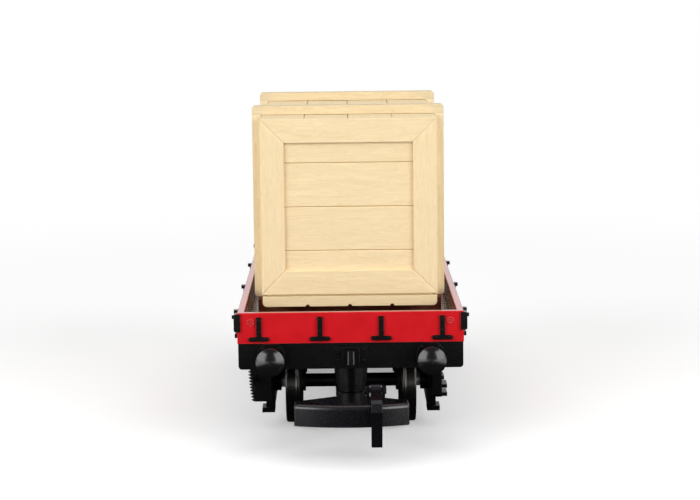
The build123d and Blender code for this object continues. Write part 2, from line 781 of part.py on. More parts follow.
def make_coupling_hook():
    """Drop hook with a ramped nose; its prong hangs in front of the bar."""
    arm_low = 9.35
    arm_high = 10.15
    prong_y = 47.65
    tip_z = 3.3
    width = hook_high_x - hook_low_x
    with BuildPart() as coupling_hook:
        with BuildSketch(Plane.YZ.offset(hook_low_x)):
            Polygon(
                (-hook_pivot_y, arm_low),
                (-prong_y, arm_low),
                (-prong_y, tip_z),
                (-prong_y - 0.65, tip_z),
                (-prong_y - 2.6, 8.6),
                (-prong_y - 2.4, arm_high - 0.4),
                (-prong_y - 1.9, arm_high),
                (-hook_pivot_y, arm_high),
            )
            with Locations((-hook_pivot_y, hook_pivot_z)):
                Circle(0.85)
                Circle(rivet_radius + running_clearance, mode=Mode.SUBTRACT)
        extrude(amount=width)
    return coupling_hook


def make_hook_rivet():
    """Rivet through both lugs, with a head at each end."""
    low = hook_low_x - 0.55
    high = hook_high_x + 0.55
    with BuildPart() as hook_rivet:
        with Locations(Location(((low + high) / 2, -hook_pivot_y, hook_pivot_z), (0, 90, 0))):
            Cylinder(rivet_radius, high - low)
        for x in (low - 0.1, high + 0.1):
            with Locations(Location((x, -hook_pivot_y, hook_pivot_z), (0, 90, 0))):
                Cylinder(0.6, 0.2)
    return hook_rivet


def make_coupling_screw():
    """Shouldered screw that holds the coupling frame up to its post."""
    head_height = 0.7
    with BuildPart() as coupling_screw:
        with Locations((0, -post_y, frame_bottom - running_clearance)):
            Cylinder(1.5, head_height, align=(Align.CENTER, Align.CENTER, Align.MAX))
            Cylinder(
                coupling_screw_radius - fixed_clearance / 2,
                post_bottom + 2 - frame_bottom,
                align=(Align.CENTER, Align.CENTER, Align.MIN),
            )
        slot_low = frame_bottom - running_clearance - head_height
        slab((-1.6, 1.6), (-post_y - 0.18, 0.18 - post_y), (slot_low, slot_low + 0.3), Mode.SUBTRACT)
    return coupling_screw


# ---------------------------------------------------------------- wheelsets

def make_axle():
    """Steel axle with conical points, turned about X."""
    with BuildPart() as axle:
        with BuildSketch(Plane.XY.offset(axle_z)):
            with Locations((0, -axle_y)):
                Polygon(
                    (-axle_half_length, 0),
                    (-axle_half_length, axle_tip_radius),
                    (-axle_cone_start, axle_radius),
                    (axle_cone_start, axle_radius),
                    (axle_half_length, axle_tip_radius),
                    (axle_half_length, 0),
                )
        revolve(axis=Axis((0, -axle_y, axle_z), (1, 0, 0)))
    return axle


def make_wheel(side):
    """Flanged wheel with a coned tread and a dished disc pierced by three holes."""
    rim_inner_radius = 5.2
    hub_radius = 2.3
    with BuildPart() as wheel:
        with BuildSketch(Plane.XY.offset(axle_z)):
            with Locations((0, -axle_y)):
                Polygon(
                    (side * (wheel_inner - 0.1), bush_radius),
                    (side * (wheel_inner - 0.1), hub_radius),
                    (side * (wheel_inner + 0.7), hub_radius + 0.2),
                    (side * (wheel_inner + 0.7), rim_inner_radius),
                    (side * wheel_inner, rim_inner_radius),
                    (side * wheel_inner, flange_radius - 0.35),
                    (side * (wheel_inner + 0.25), flange_radius),
                    (side * (wheel_inner + 0.45), flange_radius),
                    (side * (wheel_inner + flange_width), tread_radius + 0.12),
                    (side * (wheel_inner + flange_width + 0.15), tread_radius),
                    (side * (wheel_outer - 0.2), tread_radius - 0.06),
                    (side * wheel_outer, tread_radius - 0.25),
                    (side * wheel_outer, rim_inner_radius),
                    (side * (wheel_outer - 0.8), rim_inner_radius),
                    (side * (wheel_outer - 0.8), hub_radius + 0.2),
                    (side * wheel_outer, hub_radius),
                    (side * wheel_outer, bush_radius),
                )
        revolve(axis=Axis((0, -axle_y, axle_z), (1, 0, 0)))
        with Locations(Location((side * (wheel_inner + wheel_outer) / 2, -axle_y, axle_z), (0, 90, 0))):
            with PolarLocations(3.85, 3, start_angle=90):
                Cylinder(0.8, 4, mode=Mode.SUBTRACT)
    return wheel


def make_wheel_bushes():
    """Two insulating bushes between the wheels and the front axle."""
    with BuildPart() as wheel_bushes:
        for side in (-1, 1):
            low, high = span(side, wheel_inner - 0.5, wheel_outer + 0.15)
            with Locations(Location(((low + high) / 2, -axle_y, axle_z), (0, 90, 0))):
                Cylinder(bush_radius, high - low)
                Cylinder(axle_radius, high - low, mode=Mode.SUBTRACT)
    return wheel_bushes


# ---------------------------------------------------------------- load

def make_case_shell():
    """Hollow planked case: lengthwise planks on top, level planks on sides and ends."""
    core_half_length = case_half_length - frame_depth
    plank_height = (case_top - case_bottom) / 4
    plank_width = case_half_width / 2
    with BuildPart() as case_shell:
        with BuildSketch(Plane.XY.offset(case_bottom)):
            Rectangle(2 * case_half_width, 2 * core_half_length)
        extrude(amount=case_top - case_bottom)
        with BuildSketch(Plane.XY.offset(case_bottom)):
            Rectangle(2 * (case_half_width - case_wall), 2 * (core_half_length - case_wall))
        extrude(amount=case_top - case_bottom - case_wall, mode=Mode.SUBTRACT)
        for number in (1, 2, 3):
            height = case_bottom + number * plank_height
            level = (height - groove_width / 2, height + groove_width / 2)
            for side in (-1, 1):
                side_skin = span(side, case_half_width - groove_depth, case_half_width + groove_depth)
                end_skin = span(side, core_half_length - groove_depth, core_half_length + groove_depth)
                slab(side_skin, (-case_half_length, case_half_length), level, Mode.SUBTRACT)
                slab((-case_half_width, case_half_width), end_skin, level, Mode.SUBTRACT)
        for number in (-1, 0, 1):
            x = number * plank_width
            slab(
                (x - groove_width / 2, x + groove_width / 2),
                (-case_half_length, case_half_length),
                (case_top - groove_depth, case_top + groove_depth),
                Mode.SUBTRACT,
            )
    return case_shell


def make_case_end_frame():
    """Raised frame on the front of the case, four boards with mitred corners."""
    width = 2 * case_half_width
    height = case_top - case_bottom
    middle = (case_top + case_bottom) / 2
    mitre = 0.12
    with BuildPart() as case_end_frame:
        with BuildSketch(end_plane(case_half_length - frame_depth)):
            with Locations((0, middle)):
                Rectangle(width, height)
                Rectangle(width - 2 * frame_border, height - 2 * frame_border, mode=Mode.SUBTRACT)
        extrude(amount=frame_depth)
        # Shallow mitre lines that run right across the four corners
        with BuildSketch(end_plane(case_half_length)):
            for side_x in (-1, 1):
                for side_z in (-1, 1):
                    x = side_x * (width - frame_border) / 2
                    z = middle + side_z * (height - frame_border) / 2
                    with Locations(Location((x, z, 0), (0, 0, 45 * side_x * side_z))):
                        Rectangle(2 * frame_border, mitre)
        extrude(amount=-0.12, mode=Mode.SUBTRACT)
    return case_end_frame


def make_case_band():
    """Raised batten frame round the top and sides of the case, near its front."""
    outer_width = 2 * band_half_width
    gap = 0.02
    with BuildPart() as case_band:
        with BuildSketch(end_plane(band_y + band_length / 2)):
            with Locations((0, (band_top + band_bottom) / 2)):
                Rectangle(outer_width, band_top - band_bottom)
            with Locations((0, (case_top + gap + band_bottom) / 2 - 1)):
                Rectangle(2 * (case_half_width + gap), case_top + gap - band_bottom + 2, mode=Mode.SUBTRACT)
        extrude(amount=-band_length)
        lengthwise = case_band.edges().filter_by(Axis.Y)
        outer_edges = lengthwise.filter_by(lambda edge: abs(edge.center().X) > band_half_width - 0.01)
        fillet(outer_edges, radius=0.5)
    return case_band


def make_case_base():
    """Solid ledge under the case, set back by a thin shadow line, with three grooves along its underside."""
    half_width_at_base = 12.8
    shadow_inset = 0.6
    groove = 0.6
    groove_pitch = 6.2
    with BuildPart() as case_base:
        with BuildSketch(end_plane(case_half_length)):
            with Locations((0, (base_bottom + base_top) / 2)):
                Rectangle(2 * half_width_at_base, base_top - base_bottom)
        extrude(amount=-2 * case_half_length)
        lengthwise = case_base.edges().filter_by(Axis.Y)
        fillet(lengthwise.group_by(Axis.Z)[0], radius=0.6)
        neck_x = half_width_at_base - shadow_inset
        neck_y = case_half_length - shadow_inset
        slab((-neck_x, neck_x), (-neck_y, neck_y), (base_top, case_bottom))
        for x in (-groove_pitch, 0, groove_pitch):
            with Locations(Location((x, 0, base_bottom), (90, 0, 0))):
                Cylinder(groove / 2, 3 * case_half_length, mode=Mode.SUBTRACT)
    return case_base


def make_case_bearers():
    """Three timbers across the wagon floor that the case stands on, the outer two under its bands."""
    bearer_half_width = 13.8
    bearer_half_length = 1.5
    with BuildPart() as case_bearers:
        for y in (-band_y, 0, band_y):
            along = (y - bearer_half_length, y + bearer_half_length)
            slab((-bearer_half_width, bearer_half_width), along, (floor_top, base_bottom))
        fillet(case_bearers.edges().filter_by(Axis.X), radius=0.2)
    return case_bearers


# ---------------------------------------------------------------- assembly

axlebox_front_left = make_axlebox_spring()
axlebox_rear_left = mirrored(axlebox_front_left, Plane.XZ)
wheel_front_left = make_wheel(-1)
wheel_front_right = make_wheel(1)
brake_lever_left = make_brake_lever()

pieces = {
    "body_shell": make_body_shell(),
    "floor_deck": make_floor_deck(),
    "side_straps_left": make_side_straps(-1),
    "side_straps_right": make_side_straps(1),
    "corner_plates": make_corner_plates(),
    "underframe": make_underframe(),
    "ballast_weight": make_ballast_weight(),
    "chassis_screws": make_chassis_screws(),
    "axlebox_spring_front_left": axlebox_front_left,
    "axlebox_spring_front_right": mirrored(axlebox_front_left, Plane.YZ),
    "axlebox_spring_rear_left": axlebox_rear_left,
    "axlebox_spring_rear_right": mirrored(axlebox_rear_left, Plane.YZ),
    "axle_bearings": make_axle_bearings(),
    "brake_gear_left": make_brake_gear(-1),
    "brake_gear_right": make_brake_gear(1),
    "brake_cross_shaft": make_brake_cross_shaft(),
    "brake_lever_left": brake_lever_left,
    "brake_lever_right": turned_round(brake_lever_left),
    "case_shell": make_case_shell(),
    "case_base": make_case_base(),
    "case_bearers": make_case_bearers(),
    "wheel_front_left": wheel_front_left,
    "wheel_front_right": wheel_front_right,
    "wheel_rear_left": turned_round(wheel_front_right),
    "wheel_rear_right": turned_round(wheel_front_left),
}

# Pieces that are the same at both ends of the wagon
end_pieces = {
    "end_straps": make_end_straps(),
    "buffer_stocks": make_buffer_stocks(),
    "buffer_heads": make_buffer_heads(),
    "drawhook_plate": make_drawhook_plate(),
    "drawhook": make_drawhook(),
    "coupling_bar": make_coupling_bar(),
    "coupling_hook": make_coupling_hook(),
    "hook_rivet": make_hook_rivet(),
    "coupling_screw": make_coupling_screw(),
    "axle": make_axle(),
    "wheel_bushes": make_wheel_bushes(),
    "case_end_frame": make_case_end_frame(),
    "case_band": make_case_band(),
}
for name, piece in end_pieces.items():
    pieces[name + "_front"] = piece
    pieces[name + "_rear"] = turned_round(piece)

os.makedirs("parts", exist_ok=True)
for name, piece in pieces.items():
    piece.part.label = name
    export_step(piece.part, f"parts/{name}.step")
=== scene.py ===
import json
import math

import bpy
import numpy as np
from mathutils import Matrix, Vector


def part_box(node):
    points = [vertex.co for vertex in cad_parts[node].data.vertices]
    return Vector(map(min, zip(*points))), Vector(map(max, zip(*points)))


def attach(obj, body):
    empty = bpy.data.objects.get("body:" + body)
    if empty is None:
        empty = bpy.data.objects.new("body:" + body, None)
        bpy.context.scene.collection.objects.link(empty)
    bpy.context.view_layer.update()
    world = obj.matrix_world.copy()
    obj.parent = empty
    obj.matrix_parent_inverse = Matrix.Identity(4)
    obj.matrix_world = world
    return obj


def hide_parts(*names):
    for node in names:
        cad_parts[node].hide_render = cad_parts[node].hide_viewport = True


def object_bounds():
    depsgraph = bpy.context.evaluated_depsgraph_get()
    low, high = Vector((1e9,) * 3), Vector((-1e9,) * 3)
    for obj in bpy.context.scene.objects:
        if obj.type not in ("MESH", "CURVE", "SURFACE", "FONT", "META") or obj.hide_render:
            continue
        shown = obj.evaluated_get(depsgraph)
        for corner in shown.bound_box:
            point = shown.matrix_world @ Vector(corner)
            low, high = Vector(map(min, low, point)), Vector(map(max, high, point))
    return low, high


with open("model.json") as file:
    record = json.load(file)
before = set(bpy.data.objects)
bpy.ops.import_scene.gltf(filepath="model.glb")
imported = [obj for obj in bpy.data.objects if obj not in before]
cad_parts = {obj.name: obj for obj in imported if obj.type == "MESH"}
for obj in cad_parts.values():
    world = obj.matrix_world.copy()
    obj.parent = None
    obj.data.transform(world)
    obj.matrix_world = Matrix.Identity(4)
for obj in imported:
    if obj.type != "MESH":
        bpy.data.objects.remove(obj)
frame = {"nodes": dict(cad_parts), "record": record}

# A four-wheel goods wagon, 4 mm scale, with a planked packing case. The CAD nodes carry the shape of the
# wagon; this script gives them their finishes, and builds the case's boards, whose grain is real relief.

MM = 0.001
NODES = frame["nodes"]
cad_low, cad_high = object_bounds()

# Colours, as linear red, green and blue
WHITE = (1.0, 1.0, 1.0)
BLACK = (0.0, 0.0, 0.0)
RED_DARK = (0.6, 0.0095, 0.0145)
RED_LIGHT = (0.69, 0.013, 0.019)
# Pale pink painted on the red edges as a highlight
RED_SHEEN = (0.62, 0.42, 0.4)
INSIDE_DARK = (0.13, 0.027, 0.025)
INSIDE_LIGHT = (0.21, 0.052, 0.047)
UP_FACE_GREY = (0.32, 0.26, 0.26)
DECK_DARK = (0.11, 0.025, 0.014)
DECK_LIGHT = (0.2, 0.055, 0.034)
BEARER_DARK = (0.16, 0.046, 0.016)
BEARER_LIGHT = (0.4, 0.115, 0.04)
CHASSIS_BLACK = (0.0012, 0.0012, 0.0014)
COUPLING_BLACK = (0.003, 0.003, 0.005)
BUSH_BLACK = (0.02, 0.02, 0.02)
# Paler black painted on edges as a highlight
BLACK_SHEEN = (0.05, 0.05, 0.053)
GLOSS_DARK = (0.004, 0.004, 0.005)
GLOSS_LIGHT = (0.008, 0.008, 0.009)
WHEEL_METAL = (0.055, 0.053, 0.052)
TREAD_METAL = (0.13, 0.125, 0.12)
AXLE_STEEL = (0.93, 0.88, 0.82)
# The axle's middle, painted dark as shade between the wheels
AXLE_SHADE = (0.05, 0.049, 0.048)
BRASS = (0.72, 0.48, 0.17)
PLATE_DARK = (0.3, 0.3, 0.32)
PLATE_LIGHT = (0.5, 0.5, 0.52)
CREAM_DARK = (0.86, 0.67, 0.39)
CREAM_LIGHT = (0.95, 0.76, 0.47)
BAND_DARK = (0.82, 0.66, 0.4)
BAND_LIGHT = (0.94, 0.78, 0.495)
TAN_DARK = (0.8, 0.63, 0.36)
TAN_LIGHT = (0.88, 0.71, 0.43)
BOARD_DARK = (0.86, 0.86, 0.86)
BOARD_LIGHT = (0.9, 0.9, 0.9)
LANE_DARK = (0.03, 0.03, 0.03)
LANE_SIDE = (0.45, 0.45, 0.45)

# Sizes that the finishes use, in mm
DECK_PLANK_PITCH = 1.65
POLISHED_RADIUS = 6.05          # the running band of a wheel starts about here
# The middle of an axle, between the wheels, is painted dark as shade.
SHADED_HALF_LENGTH = 8.0     # the middle of an axle, between the wheels

# Most of a noise pattern lies between these values
NOISE_LOW = 0.3
NOISE_HIGH = 0.7


# ---------------------------------------------------------------- shader building blocks

def add_node(tree, kind, **settings):
    """A shader node with some of its properties set."""
    node = tree.nodes.new(kind)
    for name, value in settings.items():
        setattr(node, name, value)
    return node


def feed(tree, socket, value):
    """Sets an input to a number or colour, or links it to another node's output."""
    if isinstance(value, bpy.types.NodeSocket):
        tree.links.new(value, socket)
    elif isinstance(value, (tuple, list)) and socket.type == "RGBA":
        socket.default_value = (*value[:3], 1.0)
    else:
        socket.default_value = value


def stretched(tree, vector, scale):
    """A vector scaled along each axis."""
    node = add_node(tree, "ShaderNodeMapping")
    feed(tree, node.inputs["Vector"], vector)
    node.inputs["Scale"].default_value = scale
    return node.outputs["Vector"]


def object_mm(tree, stretch=(1, 1, 1)):
    """Object coordinates in millimetres, stretched along each axis."""
    coordinates = add_node(tree, "ShaderNodeTexCoord")
    return stretched(tree, coordinates.outputs["Object"], [s / MM for s in stretch])


def attribute(tree, name, output="Vector"):
    """A value that the mesh carries at its vertices."""
    return add_node(tree, "ShaderNodeAttribute", attribute_name=name).outputs[output]


def noise(tree, vector, scale, detail=3.0, roughness=0.55, distortion=0.0):
    """Soft random pattern from 0 to 1."""
    node = add_node(tree, "ShaderNodeTexNoise")
    feed(tree, node.inputs["Vector"], vector)
    node.inputs["Scale"].default_value = scale
    node.inputs["Detail"].default_value = detail
    node.inputs["Roughness"].default_value = roughness
    node.inputs["Distortion"].default_value = distortion
    return node.outputs["Fac"]


def remap(tree, value, from_low, from_high, to_low, to_high, smooth=False):
    """Carries one range of values onto another and stops at its ends."""
    node = add_node(tree, "ShaderNodeMapRange")
    if smooth:
        node.interpolation_type = "SMOOTHSTEP"
    feed(tree, node.inputs["Value"], value)
    node.inputs["From Min"].default_value = from_low
    node.inputs["From Max"].default_value = from_high
    node.inputs["To Min"].default_value = to_low
    node.inputs["To Max"].default_value = to_high
    return node.outputs["Result"]


def spread(tree, pattern, low, high):
    """Spreads a noise pattern over a range of values."""
    return remap(tree, pattern, NOISE_LOW, NOISE_HIGH, low, high)


def maths(tree, operation, first, second=0.0):
    """One sum on numbers or on other nodes' outputs."""
    node = add_node(tree, "ShaderNodeMath", operation=operation)
    feed(tree, node.inputs[0], first)
    feed(tree, node.inputs[1], second)
    return node.outputs[0]


def product(tree, first, *others):
    """The product of numbers or of other nodes' outputs."""
    for other in others:
        first = maths(tree, "MULTIPLY", first, other)
    return first


def distance(tree, first, second):
    """The length of a flat vector with these two components."""
    squares = [maths(tree, "POWER", side, 2.0) for side in (first, second)]
    return maths(tree, "SQRT", maths(tree, "ADD", *squares))


def mixed(tree, factor, first, second):
    """Colour between first and second."""
    node = add_node(tree, "ShaderNodeMix", data_type="RGBA")
    feed(tree, node.inputs["Factor"], factor)
    feed(tree, node.inputs[6], first)
    feed(tree, node.inputs[7], second)
    return node.outputs[2]


def blended(tree, factor, first, second):
    """Number between first and second."""
    node = add_node(tree, "ShaderNodeMix", data_type="FLOAT")
    feed(tree, node.inputs[0], factor)
    feed(tree, node.inputs[2], first)
    feed(tree, node.inputs[3], second)
    return node.outputs[0]


def split(tree, vector):
    """The three components of a vector."""
    node = add_node(tree, "ShaderNodeSeparateXYZ")
    feed(tree, node.inputs[0], vector)
    return node.outputs


def is_ray(tree, kind):
    """1 for rays of one kind, Camera or Glossy, and 0 for others."""
    return add_node(tree, "ShaderNodeLightPath").outputs[f"Is {kind} Ray"]


def rounded_normal(tree, radius_mm):
    """The surface normal as if every edge had this radius."""
    bevel = add_node(tree, "ShaderNodeBevel", samples=4)
    bevel.inputs["Radius"].default_value = radius_mm * MM
    return bevel.outputs["Normal"]


def edge_mask(tree, radius_mm):
    """About 1 on convex and concave edges and 0 on flat faces."""
    geometry = add_node(tree, "ShaderNodeNewGeometry")
    dot = add_node(tree, "ShaderNodeVectorMath", operation="DOT_PRODUCT")
    tree.links.new(rounded_normal(tree, radius_mm), dot.inputs[0])
    tree.links.new(geometry.outputs["True Normal"], dot.inputs[1])
    return remap(tree, dot.outputs["Value"], 0.995, 0.8, 0.0, 1.0)


def bump(tree, height, depth_mm, normal=None):
    """Bump whose height runs from 0 to 1 over a real depth."""
    node = add_node(tree, "ShaderNodeBump")
    node.inputs["Strength"].default_value = 1.0
    node.inputs["Distance"].default_value = depth_mm * MM
    feed(tree, node.inputs["Height"], height)
    if normal is not None:
        feed(tree, node.inputs["Normal"], normal)
    return node.outputs["Normal"]


def finish_material(name, build):
    """A new material whose Principled inputs come from build(tree), a dict of input name to value."""
    material = bpy.data.materials.new(name)
    material.use_nodes = True
    tree = material.node_tree
    principled = tree.nodes["Principled BSDF"]
    for socket, value in build(tree).items():
        feed(tree, principled.inputs[socket], value)
    return material


# ---------------------------------------------------------------- materials

def red_paint(tree):
    """Glossy red moulding, greyed on faces that point up, with edges painted pale pink as a highlight; its
    inside faces are a dark red-brown like the deck.
    """
    where = object_mm(tree)
    x, y, z = split(tree, where)
    deck_low, deck_high = (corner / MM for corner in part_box("floor_deck"))
    reach = 0.06
    inside_x = maths(tree, "LESS_THAN", maths(tree, "ABSOLUTE", x), deck_high.x + reach)
    inside_y = maths(tree, "LESS_THAN", maths(tree, "ABSOLUTE", y), deck_high.y + reach)
    above = maths(tree, "GREATER_THAN", z, deck_low.z)
    inside = product(tree, inside_x, inside_y, above)
    streak = noise(tree, object_mm(tree, (3.0, 0.25, 3.0)), scale=1.2, detail=4.0)
    mottled = noise(tree, where, scale=0.35, detail=3.0)
    red = mixed(tree, spread(tree, mottled, 0.0, 1.0), RED_DARK, RED_LIGHT)
    brown = mixed(tree, remap(tree, streak, 0.35, 0.65, 0.0, 1.0), INSIDE_DARK, INSIDE_LIGHT)
    # Painted highlight: the edges are mixed towards a pale pink.
    sheen_mask = product(tree, edge_mask(tree, 0.07), 0.4)
    paint = mixed(tree, sheen_mask, mixed(tree, inside, red, brown), RED_SHEEN)
    # Faces that point up are mixed halfway towards a grey.
    facing_up = split(tree, add_node(tree, "ShaderNodeNewGeometry").outputs["True Normal"])[2]
    up_grey = product(tree, maths(tree, "GREATER_THAN", facing_up, 0.9), 0.5)
    skin = noise(tree, where, scale=2.2, detail=3.0)
    return {
        "Base Color": mixed(tree, up_grey, paint, UP_FACE_GREY),
        "Roughness": spread(tree, skin, 0.13, 0.2),
        "Normal": bump(tree, maths(tree, "ADD", skin, streak), 0.006, rounded_normal(tree, 0.1)),
    }


def deck_brown(tree):
    """Dark glossy planks, each a little different, with grain across the wagon."""
    plank = split(tree, object_mm(tree, (0, 1 / DECK_PLANK_PITCH, 0)))[1]
    number = add_node(tree, "ShaderNodeTexWhiteNoise", noise_dimensions="1D")
    feed(tree, number.inputs["W"], maths(tree, "FLOOR", plank))
    across = object_mm(tree, (0.35, 3.5, 3.5))
    grain = noise(tree, across, scale=2.0, detail=5.0, roughness=0.6, distortion=0.6)
    own_share = product(tree, number.outputs["Value"], 0.4)
    tone = maths(tree, "ADD", product(tree, grain, 0.6), own_share)
    return {
        "Base Color": mixed(tree, tone, DECK_DARK, DECK_LIGHT),
        "Roughness": spread(tree, grain, 0.12, 0.22),
        "Normal": bump(tree, grain, 0.01, rounded_normal(tree, 0.06)),
    }


def bearer_wood(tree):
    """Dull brown wood with grain across the wagon."""
    across = object_mm(tree, (0.3, 3.0, 3.0))
    grain = noise(tree, across, scale=1.5, detail=5.0, roughness=0.6, distortion=0.6)
    return {
        "Base Color": mixed(tree, grain, BEARER_DARK, BEARER_LIGHT),
        "Roughness": spread(tree, grain, 0.4, 0.6),
        "Normal": bump(tree, grain, 0.03, rounded_normal(tree, 0.08)),
    }


def black_moulding(base, roughness, edge_sheen, specular=0.15, skin_depth=0.005):
    """Black plastic with a fine moulded skin, edges painted paler as a highlight and a trace of dust in its
    mottling.
    """
    def build(tree):
        where = object_mm(tree)
        skin = noise(tree, where, scale=5.0, detail=4.0, roughness=0.6)
        cloud = noise(tree, where, scale=0.45, detail=3.0)
        dusty = remap(tree, cloud, 0.45, 0.75, 0.0, 0.35)
        dark = mixed(tree, dusty, base, [c * 2.2 + 0.002 for c in base])
        # Painted highlight: the edges are mixed towards a paler black.
        sheen_mask = product(tree, edge_mask(tree, 0.07), edge_sheen)
        return {
            "Base Color": mixed(tree, sheen_mask, dark, BLACK_SHEEN),
            "Roughness": spread(tree, skin, *roughness),
            "Specular IOR Level": specular,
            "Normal": bump(tree, skin, skin_depth, rounded_normal(tree, 0.07)),
        }
    return build


def polished_black(tree):
    """Deep gloss black with faint polishing swirls."""
    swirl = noise(tree, object_mm(tree), scale=3.0, detail=5.0, roughness=0.7, distortion=1.5)
    return {
        "Base Color": mixed(tree, swirl, GLOSS_DARK, GLOSS_LIGHT),
        "Roughness": spread(tree, swirl, 0.17, 0.24),
        "Coat Weight": 0.2,
        "Coat Roughness": 0.14,
        "Normal": bump(tree, swirl, 0.003, rounded_normal(tree, 0.06)),
    }


def turned_metal(base, roughness, ring_mm, dull, polished_radius=None, dark_middle=None):
    """Metal turned about an axle: fine rings, an optional bright running band and an optional middle painted
    dark as shade.
    """
    axle_low, axle_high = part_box("axle_rear")
    centre_y = (axle_low.y + axle_high.y) / 2 / MM
    centre_z = (axle_low.z + axle_high.z) / 2 / MM

    def build(tree):
        x, y, z = split(tree, object_mm(tree))
        # Both axles are as far from the middle of the wagon
        own_centre_y = product(tree, maths(tree, "SIGN", y), centre_y)
        from_y = maths(tree, "SUBTRACT", y, own_centre_y)
        from_z = maths(tree, "SUBTRACT", z, centre_z)
        radius = distance(tree, from_y, from_z)
        ring_place = add_node(tree, "ShaderNodeCombineXYZ")
        feed(tree, ring_place.inputs[0], radius)
        feed(tree, ring_place.inputs[1], x)
        rings = noise(tree, ring_place.outputs[0], scale=1.0 / ring_mm, detail=2.0)
        cloud = noise(tree, object_mm(tree), scale=0.8, detail=4.0, roughness=0.6)
        dulled = [c * dull for c in base]
        colour = mixed(tree, remap(tree, cloud, 0.35, 0.7, 0.0, 1.0), base, dulled)
        rough = spread(tree, rings, roughness, roughness + 0.06)
        metal = 1.0
        if polished_radius:
            start, end = polished_radius - 0.15, polished_radius + 0.05
            band = remap(tree, radius, start, end, 0.0, 1.0, smooth=True)
            colour = mixed(tree, product(tree, band, 0.8), colour, TREAD_METAL)
            rough = remap(tree, band, 0.0, 1.0, roughness + 0.1, roughness - 0.08)
        # The middle, between the wheels, is painted dark, duller and less metallic as shade.
        if dark_middle:
            middle = maths(tree, "LESS_THAN", maths(tree, "ABSOLUTE", x), dark_middle)
            colour = mixed(tree, middle, colour, AXLE_SHADE)
            rough = blended(tree, middle, roughness + 0.2, rough)
            metal = blended(tree, middle, 0.3, 1.0)
        return {
            "Base Color": colour,
            "Metallic": metal,
            "Roughness": rough,
            "Normal": bump(tree, rings, 0.0005, rounded_normal(tree, 0.06)),
        }
    return build


def rolled_steel(tree):
    """Grey steel plate or screw with fine scratches."""
    scratch = noise(tree, object_mm(tree, (6.0, 0.5, 6.0)), scale=1.5, detail=4.0)
    return {
        "Base Color": mixed(tree, scratch, PLATE_DARK, PLATE_LIGHT),
        "Metallic": 1.0,
        "Roughness": spread(tree, scratch, 0.28, 0.45),
        "Normal": bump(tree, scratch, 0.006, rounded_normal(tree, 0.06)),
    }


def grain_noise(tree, vector):
    """Wood grain from 0 to 1 whose x runs along it: broad streaks under fine lines that wander together."""
    drift = noise(tree, stretched(tree, vector, (0.1, 0.3, 0.3)), scale=1.0, detail=2.0)
    sideways = product(tree, maths(tree, "SUBTRACT", drift, 0.5), 3.4)
    shift = add_node(tree, "ShaderNodeCombineXYZ")
    feed(tree, shift.inputs[1], sideways)
    feed(tree, shift.inputs[2], sideways)
    moved = add_node(tree, "ShaderNodeVectorMath", operation="ADD")
    feed(tree, moved.inputs[0], vector)
    feed(tree, moved.inputs[1], shift.outputs[0])
    wandering = moved.outputs[0]
    streak = noise(tree, stretched(tree, wandering, (0.16, 2.4, 2.4)), scale=1.0, detail=4.0, roughness=0.6)
    lines = noise(tree, stretched(tree, wandering, (0.2, 6.5, 6.5)), scale=1.0, detail=2.0)
    return blended(tree, 0.5, streak, lines)


def grain_colours(tree, streak, speck, light, dark):
    """Light and dark wood where the streaks, with a few specks, say so."""
    tone = maths(tree, "ADD", product(tree, streak, 0.85), product(tree, speck, 0.15))
    return mixed(tree, remap(tree, tone, 0.38, 0.62, 0.0, 1.0), dark, light)


def case_roughness(tree, streak):
    """The same half-matt surface on every part of the case."""
    return spread(tree, streak, 0.5, 0.62)


def board_plastic(tree):
    """Cream wood-grained plastic for boards that carry their own board coordinates."""
    streak = grain_noise(tree, attribute(tree, "board_mm"))
    speck = noise(tree, object_mm(tree), scale=4.0, detail=3.0)
    own_tone = product(tree, attribute(tree, "board_tone", "Fac"), 0.1)
    colour = grain_colours(tree, streak, speck, CREAM_LIGHT, CREAM_DARK)
    return {
        "Base Color": mixed(tree, own_tone, colour, CREAM_DARK),
        "Roughness": case_roughness(tree, streak),
        "Subsurface Weight": 0.04,
        "Subsurface Radius": (0.0004, 0.0003, 0.0002),
        "Normal": bump(tree, streak, 0.045),
    }


def band_plastic(light, dark, all_level=False):
    """Cream plastic on the bands and base: grain runs up the uprights and along the level parts.

    What stands above the case, the level part of each band, is painted a little darker as shade; the uprights
    keep the lit colours.
    """
    def build(tree):
        where = object_mm(tree)
        level = grain_noise(tree, where)
        turned = add_node(tree, "ShaderNodeVectorRotate", rotation_type="Y_AXIS")
        feed(tree, turned.inputs["Vector"], where)
        turned.inputs["Angle"].default_value = math.pi / 2
        upright = grain_noise(tree, turned.outputs["Vector"])
        z = split(tree, where)[2]
        on_top = maths(tree, "GREATER_THAN", z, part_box("case_shell")[1].z / MM)
        streak = blended(tree, 1.0 if all_level else on_top, upright, level)
        speck = noise(tree, where, scale=4.0, detail=3.0)
        # Painted shade: the level tops take the same colours at 0.82 of their brightness.
        shaded_top_light, shaded_top_dark = ([c * 0.82 for c in tone] for tone in (light, dark))
        unshaded = grain_colours(tree, streak, speck, light, dark)
        shaded_top = grain_colours(tree, streak, speck, shaded_top_light, shaded_top_dark)
        return {
            "Base Color": mixed(tree, on_top, unshaded, shaded_top),
            "Roughness": case_roughness(tree, streak),
            "Normal": bump(tree, streak, 0.03, rounded_normal(tree, 0.12)),
        }
    return build


